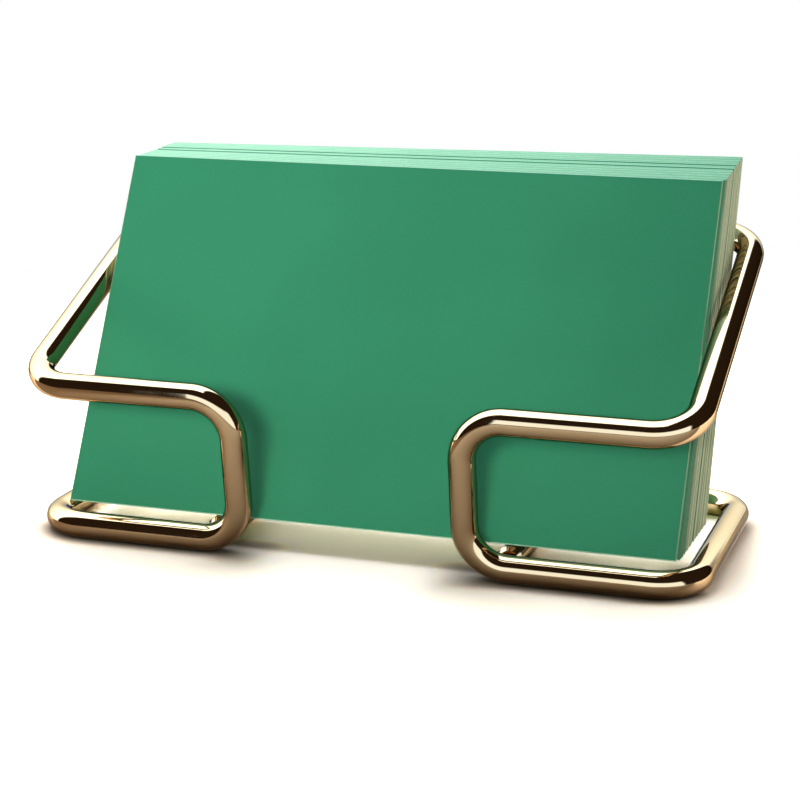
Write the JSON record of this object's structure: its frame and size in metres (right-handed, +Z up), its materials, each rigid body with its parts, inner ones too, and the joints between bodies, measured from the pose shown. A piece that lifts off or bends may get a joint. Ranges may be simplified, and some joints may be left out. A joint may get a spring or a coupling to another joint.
{
  "type": "business card holder stand",
  "caption": "Desk stand for business cards bent from one polished wire: two looped feet, a split front lip, side arms and a top bar, holding a stack of leaning plain cards.",
  "frame": {"origin": "on the desk, at the middle of the rectangle that the two feet cover", "axes": "+X to the right as seen from the front, +Y to the back, +Z up"},
  "size_m": [0.0992, 0.0483, 0.0531],
  "materials": {
    "polished_wire": "polished champagne-gold plating on steel wire",
    "front_card": "smooth satin green card",
    "card_stock": "smooth satin green card, pale cut edges"
  },
  "bodies": {
    "holder": {"wire_frame": "polished_wire"},
    "card_01": {"card_01": "front_card"},
    "card_02": {"card_02": "card_stock"},
    "card_03": {"card_03": "card_stock"},
    "card_04": {"card_04": "card_stock"},
    "card_05": {"card_05": "card_stock"},
    "card_06": {"card_06": "card_stock"},
    "card_07": {"card_07": "card_stock"},
    "card_08": {"card_08": "card_stock"},
    "card_09": {"card_09": "card_stock"},
    "card_10": {"card_10": "card_stock"},
    "card_11": {"card_11": "card_stock"},
    "card_12": {"card_12": "card_stock"},
    "card_13": {"card_13": "card_stock"},
    "card_14": {"card_14": "card_stock"},
    "card_15": {"card_15": "card_stock"},
    "card_16": {"card_16": "card_stock"},
    "card_17": {"card_17": "card_stock"},
    "card_18": {"card_18": "card_stock"},
    "card_19": {"card_19": "card_stock"},
    "card_20": {"card_20": "card_stock"},
    "card_21": {"card_21": "card_stock"},
    "card_22": {"card_22": "card_stock"},
    "card_23": {"card_23": "card_stock"},
    "card_24": {"card_24": "card_stock"},
    "card_25": {"card_25": "card_stock"},
    "card_26": {"card_26": "card_stock"}
  },
  "joints": [
    {"name": "card_01_lift_out", "type": "slide", "parent": "holder", "child": "card_01", "axis": [0, 0.4772, 0.8788], "range_m": [0, 0.046]},
    {"name": "card_02_lift_out", "type": "slide", "parent": "holder", "child": "card_02", "axis": [-0.0006, 0.4765, 0.8792], "range_m": [0, 0.046]},
    {"name": "card_03_lift_out", "type": "slide", "parent": "holder", "child": "card_03", "axis": [-0.0012, 0.4758, 0.8796], "range_m": [0, 0.046]},
    {"name": "card_04_lift_out", "type": "slide", "parent": "holder", "child": "card_04", "axis": [-0.0018, 0.4751, 0.8799], "range_m": [0, 0.046]},
    {"name": "card_05_lift_out", "type": "slide", "parent": "holder", "child": "card_05", "axis": [-0.0024, 0.4744, 0.8803], "range_m": [0, 0.046]},
    {"name": "card_06_lift_out", "type": "slide", "parent": "holder", "child": "card_06", "axis": [-0.003, 0.4737, 0.8807], "range_m": [0, 0.046]},
    {"name": "card_07_lift_out", "type": "slide", "parent": "holder", "child": "card_07", "axis": [-0.0036, 0.473, 0.8811], "range_m": [0, 0.046]},
    {"name": "card_08_lift_out", "type": "slide", "parent": "holder", "child": "card_08", "axis": [-0.0042, 0.4723, 0.8814], "range_m": [0, 0.046]},
    {"name": "card_09_lift_out", "type": "slide", "parent": "holder", "child": "card_09", "axis": [-0.0048, 0.4716, 0.8818], "range_m": [0, 0.046]},
    {"name": "card_10_lift_out", "type": "slide", "parent": "holder", "child": "card_10", "axis": [-0.0054, 0.4709, 0.8822], "range_m": [0, 0.046]},
    {"name": "card_11_lift_out", "type": "slide", "parent": "holder", "child": "card_11", "axis": [-0.006, 0.4702, 0.8826], "range_m": [0, 0.046]},
    {"name": "card_12_lift_out", "type": "slide", "parent": "holder", "child": "card_12", "axis": [-0.0066, 0.4695, 0.8829], "range_m": [0, 0.046]},
    {"name": "card_13_lift_out", "type": "slide", "parent": "holder", "child": "card_13", "axis": [-0.0072, 0.4688, 0.8833], "range_m": [0, 0.046]},
    {"name": "card_14_lift_out", "type": "slide", "parent": "holder", "child": "card_14", "axis": [-0.0078, 0.4648, 0.8854], "range_m": [0, 0.046]},
    {"name": "card_15_lift_out", "type": "slide", "parent": "holder", "child": "card_15", "axis": [-0.0084, 0.4641, 0.8857], "range_m": [0, 0.046]},
    {"name": "card_16_lift_out", "type": "slide", "parent": "holder", "child": "card_16", "axis": [-0.009, 0.4634, 0.8861], "range_m": [0, 0.046]},
    {"name": "card_17_lift_out", "type": "slide", "parent": "holder", "child": "card_17", "axis": [-0.0096, 0.4595, 0.8881], "range_m": [0, 0.046]},
    {"name": "card_18_lift_out", "type": "slide", "parent": "holder", "child": "card_18", "axis": [-0.0102, 0.4588, 0.8885], "range_m": [0, 0.046]},
    {"name": "card_19_lift_out", "type": "slide", "parent": "holder", "child": "card_19", "axis": [-0.0108, 0.4581, 0.8889], "range_m": [0, 0.046]},
    {"name": "card_20_lift_out", "type": "slide", "parent": "holder", "child": "card_20", "axis": [-0.0114, 0.4573, 0.8892], "range_m": [0, 0.046]},
    {"name": "card_21_lift_out", "type": "slide", "parent": "holder", "child": "card_21", "axis": [-0.012, 0.4566, 0.8896], "range_m": [0, 0.046]},
    {"name": "card_22_lift_out", "type": "slide", "parent": "holder", "child": "card_22", "axis": [-0.0126, 0.4559, 0.8899], "range_m": [0, 0.046]},
    {"name": "card_23_lift_out", "type": "slide", "parent": "holder", "child": "card_23", "axis": [-0.0132, 0.4552, 0.8903], "range_m": [0, 0.046]},
    {"name": "card_24_lift_out", "type": "slide", "parent": "holder", "child": "card_24", "axis": [-0.0138, 0.4545, 0.8906], "range_m": [0, 0.046]},
    {"name": "card_25_lift_out", "type": "slide", "parent": "holder", "child": "card_25", "axis": [-0.0144, 0.4538, 0.891], "range_m": [0, 0.046]},
    {"name": "card_26_lift_out", "type": "slide", "parent": "holder", "child": "card_26", "axis": [-0.015, 0.4531, 0.8913], "range_m": [0, 0.046]}
  ]
}
